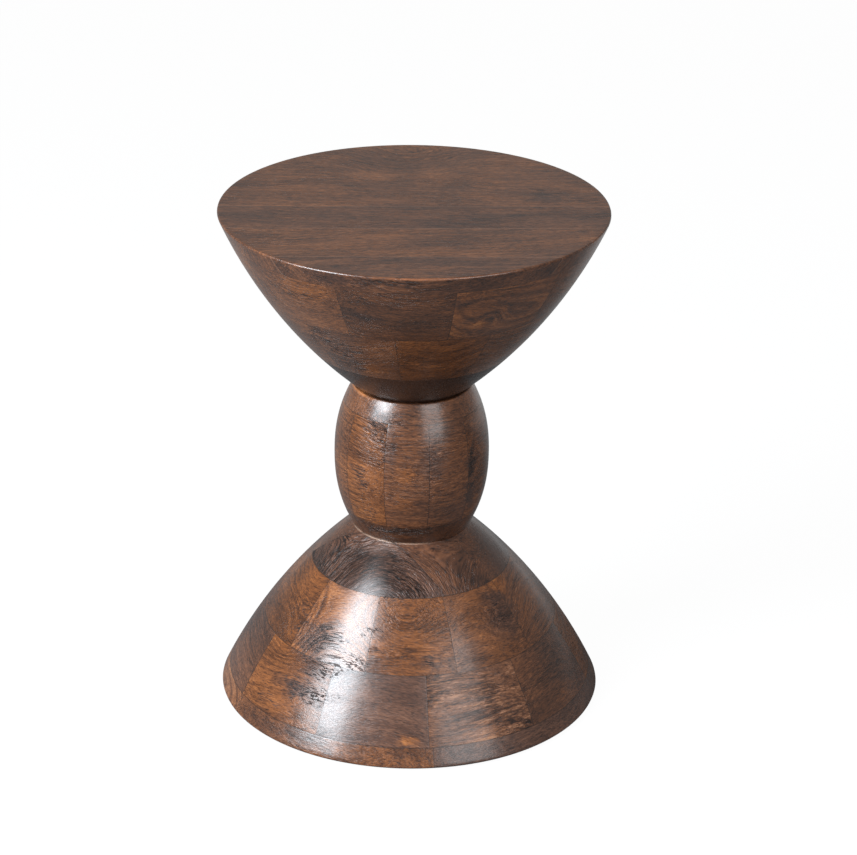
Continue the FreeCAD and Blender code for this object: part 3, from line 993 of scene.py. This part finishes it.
lay_boards(
    "barrel_bottom_turning",
    board_tree(
        "barrel bottom disc",
        Rounded(barrel_side, BARREL_FLOOR, -1, BARREL_ROUNDING),
        steps_across=72,
        steps_along=20,
        steps_up=22,
        bored=True,
        spigot=True,
    ),
    ["barrel_bottom_disc"],
    80.0,
    [],
    (-OPEN_AIR, stave_floor),
    ["umber"],
    barrel_wood,
    rod_bore(
        BARREL_FLOOR,
        stave_floor,
        SPIGOT_RADIUS,
        BARREL_FLOOR - SPIGOT_LENGTH,
        BARREL_FLOOR + SPIGOT_ROOT,
    ),
)


# BARREL, STAVES
# Ten staves glued into a ring with their grain lying level, then turned. The ring was
# glued up 5.4 mm off the turning axis, so its joints come out at uneven angles.

STAVE_WALL = 0.042
RING_OFF_AXIS = 0.0054

ring_way = math.radians(30)
ring_centre = Vector((math.sin(ring_way), -math.cos(ring_way), 0)) * RING_OFF_AXIS
lay_course(
    "barrel_stave",
    block_tree("barrel stave", barrel_side, steps_round=18, steps_up=40),
    barrel_side,
    "barrel_staves",
    12.0,
    barrel_side.at(stave_floor) - STAVE_WALL,
    [
        "brown", "chestnut", "walnut", "chestnut", "brown",
        "orange", "walnut", "chestnut", "orange", "brown",
    ],
    barrel_wood,
    ring_centre,
)


# BARREL, TOP DISC
# The staves' upper disc, lighter than the lower one. Its grain runs from front right
# to back left, and its spigot is glued into the bowl's neck.

lay_boards(
    "barrel_top_turning",
    board_tree(
        "barrel top disc",
        Rounded(barrel_side, BARREL_CEILING, 1, BARREL_ROUNDING),
        steps_across=72,
        steps_along=20,
        steps_up=22,
        bored=True,
        spigot=True,
    ),
    ["barrel_top_disc"],
    110.0,
    [],
    # The glue colour along the disc's top, where the neck sits on it, is a glue line and also
    # painted shade in the narrow gap under the neck.
    (stave_ceiling, BARREL_CEILING),
    ["brown"],
    barrel_wood,
    rod_bore(
        stave_ceiling,
        BARREL_CEILING,
        SPIGOT_RADIUS,
        BARREL_CEILING - SPIGOT_ROOT,
        BARREL_CEILING + SPIGOT_LENGTH,
    ),
)


# BOWL NECK
# Two thick, very dark boards glued side by side, which close the bowl at its narrow
# end. They sit on the barrel's spigot, and the rod's tee nut is pressed in from above.

NECK_CEILING = 0.336
TOP_CEILING = 0.460
TOP_RADIUS = 0.171
BOWL_SIDE = Arc(0.050, BARREL_CEILING, TOP_RADIUS, TOP_CEILING, 0.012)

bowl_wood = stained_wood(
    "bowl_wood",
    marks=[
        mark((0.0652, -0.1309, 0.4111), 0.011, 1.2, swirl=0.01, lighter=-0.2, warmer=-0.3),
        mark((0.0495, -0.1365, 0.411), 0.01, 2.0, lighter=-0.12, warmer=-0.3),
        mark((0.0561, -0.1314, 0.4058), 0.011, 1.8, lighter=0.25, warmer=0.5),
        mark((0.0413, -0.1519, 0.4316), 0.014, 3.0, lighter=-0.14, warmer=-0.3),
        mark((0.0799, -0.131, 0.4238), 0.013, 4.0, lighter=-0.22, warmer=-0.2),
        mark((0.0781, -0.062, 0.3466), 0.011, 2.5, lighter=-0.25, warmer=-0.3),
        mark((-0.0419, -0.142, 0.4143), 0.016, 2.2, lighter=-0.1, warmer=-0.5, pores=1.0),
        mark((-0.0894, -0.1306, 0.4333), 0.03, 1.5, lighter=0.12, warmer=0.4),
        mark((-0.0916, -0.1171, 0.4154), 0.022, 2.0, pores=2.0),
        mark((-0.0662, -0.0998, 0.3716), 0.026, 1.2, warmer=-0.2, smears=0.4, pores=2.4),
        mark((-0.0512, -0.0901, 0.3513), 0.018, 1.5, pores=2.2),
        mark((-0.0341, -0.0963, 0.3494), 0.018, 2.0, lighter=0.12, warmer=0.4),
    ],
)
neck_side = Rounded(BOWL_SIDE, BARREL_CEILING, -1, 0.001)
lay_boards(
    "bowl_neck_plank",
    board_tree(
        "bowl neck board", neck_side, steps_across=36, steps_along=20, steps_up=24, bored=True
    ),
    ["bowl_neck_board_1", "bowl_neck_board_2"],
    2.5,
    [0.0],
    (BARREL_CEILING, NECK_CEILING),
    ["dark", "dark"],
    bowl_wood,
    rod_bore(
        BARREL_CEILING,
        NECK_CEILING,
        RECESS_RADIUS,
        BARREL_CEILING - CUT_PAST,
        BARREL_CEILING + RECESS_DEPTH,
    ),
)


# BOWL, LOWER COURSE
# Ten blocks sawn to wedges and glued into a ring as in the base, and turned to the
# narrow end of the bowl's side. They are glued on the neck.

bowl_tree = block_tree("bowl block", BOWL_SIDE, steps_round=26, steps_up=22)
lay_course(
    "bowl_lower_wedge",
    bowl_tree,
    BOWL_SIDE,
    "bowl_lower_block_{:02d}",
    -6.3,
    BOWL_SIDE.at(NECK_CEILING) - COURSE_WALL,
    [
        "amber", "chestnut", "brown", "walnut", "orange",
        "dusky", "brown", "chestnut", "chestnut", "brown",
    ],
    bowl_wood,
)


# BOWL, UPPER COURSE
# Ten blocks of the same stock that carry the top, glued on so that their joints fall
# over the blocks of the lower course.

lay_course(
    "bowl_upper_wedge",
    bowl_tree,
    BOWL_SIDE,
    "bowl_upper_block_{:02d}",
    12.7,
    BOWL_SIDE.at(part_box("bowl_upper_block_01")[0].z) - COURSE_WALL,
    [
        "golden", "chestnut", "brown", "orange", "dusky",
        "walnut", "chestnut", "chestnut", "brown", "umber",
    ],
    bowl_wood,
)


# TABLE TOP
# Four boards of uneven width glued edge to edge with their grain running left to
# right, turned with the bowl and rounded over by 1.5 mm at the rim.

top_wood = stained_wood(
    "top_wood",
    marks=[
        mark((-0.0321, 0.0858, TOP_CEILING), 0.026, swirl=0.018, lighter=0.2, warmer=0.05),
        mark((0.0159, 0.0898, TOP_CEILING), 0.022, swirl=0.015, lighter=0.14, warmer=0.05),
        mark((-0.008, 0.125, TOP_CEILING), 0.045, swirl=0.03, lighter=-0.05, warmer=0.1),
        mark((0.115, 0.0245, TOP_CEILING), 0.018, lighter=-0.12, warmer=-0.3, smears=0.2),
        mark((-0.0351, -0.1652, 0.4553), 0.014, 3.0, lighter=-0.06, warmer=-0.3, pores=2.4),
        mark((-0.0065, -0.1685, 0.4552), 0.014, 3.0, lighter=-0.06, warmer=-0.3, pores=2.4),
        mark((-0.068, -0.154, 0.4535), 0.034, 6.0, lighter=-0.14, warmer=-0.3),
    ],
    edges=[
        worn_edge(
            radius=0.1703,
            level=0.4595,
            reach=0.0018,
            place=(0.032, -0.167, TOP_CEILING),
            length=0.06,
            colour=(150, 94, 62),
        )
    ],
    glue=tint(140, 104, 84),
    streak=(6.0, 150.0),
    fineness=0.8,
)
top_side = Rounded(BOWL_SIDE, TOP_CEILING, 1, 0.0015)
lay_boards(
    "top_plank",
    board_tree("top board", top_side, steps_across=40, steps_along=60, steps_up=24),
    ["top_board_1", "top_board_2", "top_board_3", "top_board_4"],
    91.3,
    [TOP_RADIUS * -0.70, TOP_RADIUS * -0.30, TOP_RADIUS * 0.02],
    (-OPEN_AIR, OPEN_AIR),
    ["walnut", "brown", "walnut", "brown"],
    top_wood,
)


# ROD AND NUTS
# A zinc-plated threaded rod on the axis clamps the three sections. A washer and a hex
# nut hold it under the cap, and a tee nut pressed into the neck holds its upper end.


def rod_tree():
    sizes = {
        "Rod radius": "Float",
        "Low level": "Float",
        "High level": "Float",
        "Thread pitch": "Float",
        "Thread depth": "Float",
        "End chamfer": "Float",
        "Material": "Material",
    }
    graph, given = geometry_tree("threaded rod", sizes)
    low, high, radius = given["Low level"], given["High level"], given["Rod radius"]
    inputs = {
        "Vertices": 24,
        "Side Segments": 780,
        "Fill Segments": 1,
        "Radius": radius,
        "Depth": high - low,
    }
    rod = graph.add("GeometryNodeMeshCylinder", None, inputs)
    x, y, z = graph.parts(graph.add("GeometryNodeInputPosition"))
    around = y.math("ARCTAN2", x) / math.tau
    phase = (z / given["Thread pitch"] - around).math("FRACT")
    cut = (phase - 0.5).size() * 2.0 * given["Thread depth"]
    to_end = (high - low) * 0.5 - z.size()
    cut = cut.most(given["End chamfer"] - to_end)
    share = 1.0 - cut / radius
    place = graph.vector(x * share, y * share, z + (low + high) * 0.5)
    mesh = graph.add("GeometryNodeSetPosition", None, {"Geometry": rod, "Position": place})
    end_tree(graph, mesh, given["Material"])
    return graph.tree


def zinc_plate():
    material, graph = bare_material("zinc_plate")
    here = graph.add("ShaderNodeTexCoord", None, None, "Object")
    spangle = graph.noise(graph.scaled(here, 420.0), 3.0, 0.6)
    scratches = graph.noise(graph.vectors("MULTIPLY", here, (2400.0, 2400.0, 260.0)), 2.0, 0.6)
    stops = [(0.3, tint(150, 152, 150)), (0.6, tint(186, 188, 184)), (0.8, tint(206, 204, 192))]
    colour = graph.add("ShaderNodeValToRGB", {"stops": stops}, {0: spangle})
    inputs = {"Strength": 0.4, "Distance": 0.0001, "Height": scratches + spangle * 0.5}
    normal = graph.add("ShaderNodeBump", None, inputs)
    inputs = {
        "Base Color": colour,
        "Metallic": 1.0,
        "Roughness": 0.26 + scratches * 0.22,
        "Normal": normal,
    }
    zinc = graph.add("ShaderNodeBsdfPrincipled", None, inputs)
    graph.add("ShaderNodeOutputMaterial", None, {"Surface": zinc})
    return material


zinc = zinc_plate()
rod_low, rod_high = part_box("threaded_rod")
rod_sizes = {
    "Rod radius": 0.005,
    "Low level": rod_low.z,
    "High level": rod_high.z,
    "Thread pitch": 0.0015,
    "Thread depth": 0.0008,
    "End chamfer": 0.001,
    "Material": zinc,
}
make_piece("rod_threads", rod_tree(), rod_sizes, "zinc_plated_steel", "threaded_rod")
for node in ("washer", "hex_nut", "tee_nut"):
    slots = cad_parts[node].data.materials
    for i in range(len(slots)):
        slots[i] = zinc


# STUDIO
# A white floor that runs out of sight, one large soft lamp high at the left, a weak
# one at the right, and a long lens at the photograph's viewing angle.


# How much of the white surroundings a glossy surface shows
WORLD_GLOSS = 0.11
FLOOR_GLOSS = 0.02


def ray_kinds(graph):
    """Whether a ray comes from the camera, off a glossy surface or through glass."""
    kinds = ("Camera", "Glossy", "Transmission")
    return [graph.add("ShaderNodeLightPath", None, None, f"Is {kind} Ray") for kind in kinds]

def studio_floor():
    material, graph = bare_material("studio_floor")
    seen, glossy, through = ray_kinds(graph)
    tones = graph.mixed(seen, (0.16, 0.16, 0.16, 1.0), (0.8, 0.8, 0.8, 1.0))
    paper = graph.add("ShaderNodeBsdfDiffuse", None, {"Color": tones})
    glow = graph.add("ShaderNodeEmission", None, {"Color": (1, 1, 1, 1), "Strength": 1.03})
    place = graph.add("ShaderNodeNewGeometry", None, None, "Position")
    right, back, _ = graph.parts(place)
    behind = back.between(0.2, 1.2) * (0.3 + right.between(-0.2, 1.0) * 0.25)
    share = (seen.most(through) * 0.94).most(glossy * (FLOOR_GLOSS + behind))
    mix = graph.add("ShaderNodeMixShader", None, {0: share, 1: paper, 2: glow})
    graph.add("ShaderNodeOutputMaterial", None, {"Surface": mix})
    return material


FLOOR_REACH = 12.0

floor_mesh = bpy.data.meshes.new("studio_floor")
corners = [(-1, -1), (1, -1), (1, 1), (-1, 1)]
floor_mesh.from_pydata(
    [(FLOOR_REACH * x, FLOOR_REACH * y, 0) for x, y in corners], [], [(0, 1, 2, 3)]
)
floor_mesh.materials.append(studio_floor())
floor = bpy.data.objects.new("studio_floor", floor_mesh)
bpy.context.scene.collection.objects.link(floor)

world = bpy.data.worlds.new("studio")
bpy.context.scene.world = world
world.use_nodes = True
world.node_tree.nodes.clear()
graph = Graph(world.node_tree)
seen, glossy, through = ray_kinds(graph)
share = seen.most(through).most(glossy * WORLD_GLOSS)
fill = graph.add("ShaderNodeBackground", None, {"Color": (1, 1, 1, 1), "Strength": 0.15})
white = graph.add("ShaderNodeBackground", None, {"Color": (1, 1, 1, 1), "Strength": 1.0})
mix = graph.add("ShaderNodeMixShader", None, {0: share, 1: fill, 2: white})
graph.add("ShaderNodeOutputWorld", None, {"Surface": mix})


def add_lamp(name, azimuth, elevation, distance, width, height, power, colour):
    """A softbox that faces the middle of the table."""
    turn, lift = math.radians(azimuth), math.radians(elevation)
    way = Vector(
        (math.sin(turn) * math.cos(lift), -math.cos(turn) * math.cos(lift), math.sin(lift))
    )
    data = bpy.data.lights.new(name, "AREA")
    data.shape = "RECTANGLE"
    data.size = width
    data.size_y = height
    data.energy = power
    data.color = colour
    lamp = bpy.data.objects.new(name, data)
    lamp.rotation_euler = way.to_track_quat("Z", "Y").to_euler()
    lamp.location = Vector((0, 0, 0.23)) + way * distance
    bpy.context.scene.collection.objects.link(lamp)


add_lamp(
    "key_softbox",
    azimuth=-55.5,
    elevation=31,
    distance=2.2,
    width=1.0,
    height=1.5,
    power=104,
    colour=(0.86, 0.93, 1.0),
)
add_lamp(
    "fill_softbox",
    azimuth=35,
    elevation=23,
    distance=2.4,
    width=1.3,
    height=1.7,
    power=26,
    colour=(0.97, 0.98, 1.0),
)

# The camera circles a point on the table's axis, and is aimed slightly past it
LOOK_LEVEL = 0.2233
CAMERA_DISTANCE = 2.7841
AIM_RIGHT = 0.01509
AIM_UP = 0.02665

tilt = math.radians(24.412)
roll = math.radians(0.606)
back_way = Vector((0, -math.cos(tilt), math.sin(tilt)))
up_way = back_way.cross(Vector((1, 0, 0)))
right_way = math.cos(roll) * Vector((1, 0, 0)) + math.sin(roll) * up_way
up_way = math.cos(roll) * up_way - math.sin(roll) * Vector((1, 0, 0))
look = Vector((0, 0, LOOK_LEVEL))
eye = look + back_way * CAMERA_DISTANCE
aim = look + right_way * AIM_RIGHT + up_way * AIM_UP
back_way = (eye - aim).normalized()
right_way = up_way.cross(back_way).normalized()
up_way = back_way.cross(right_way)
turn = Matrix((right_way, up_way, back_way)).transposed()
lens = bpy.data.cameras.new("camera")
lens.lens = 130.7
lens.sensor_fit = "HORIZONTAL"
lens.sensor_width = 36
lens.clip_end = 100
camera = bpy.data.objects.new("camera", lens)
camera.matrix_world = Matrix.Translation(eye) @ turn.to_4x4()
bpy.context.scene.collection.objects.link(camera)
bpy.context.scene.camera = camera
bpy.context.scene.view_settings.view_transform = "Standard"
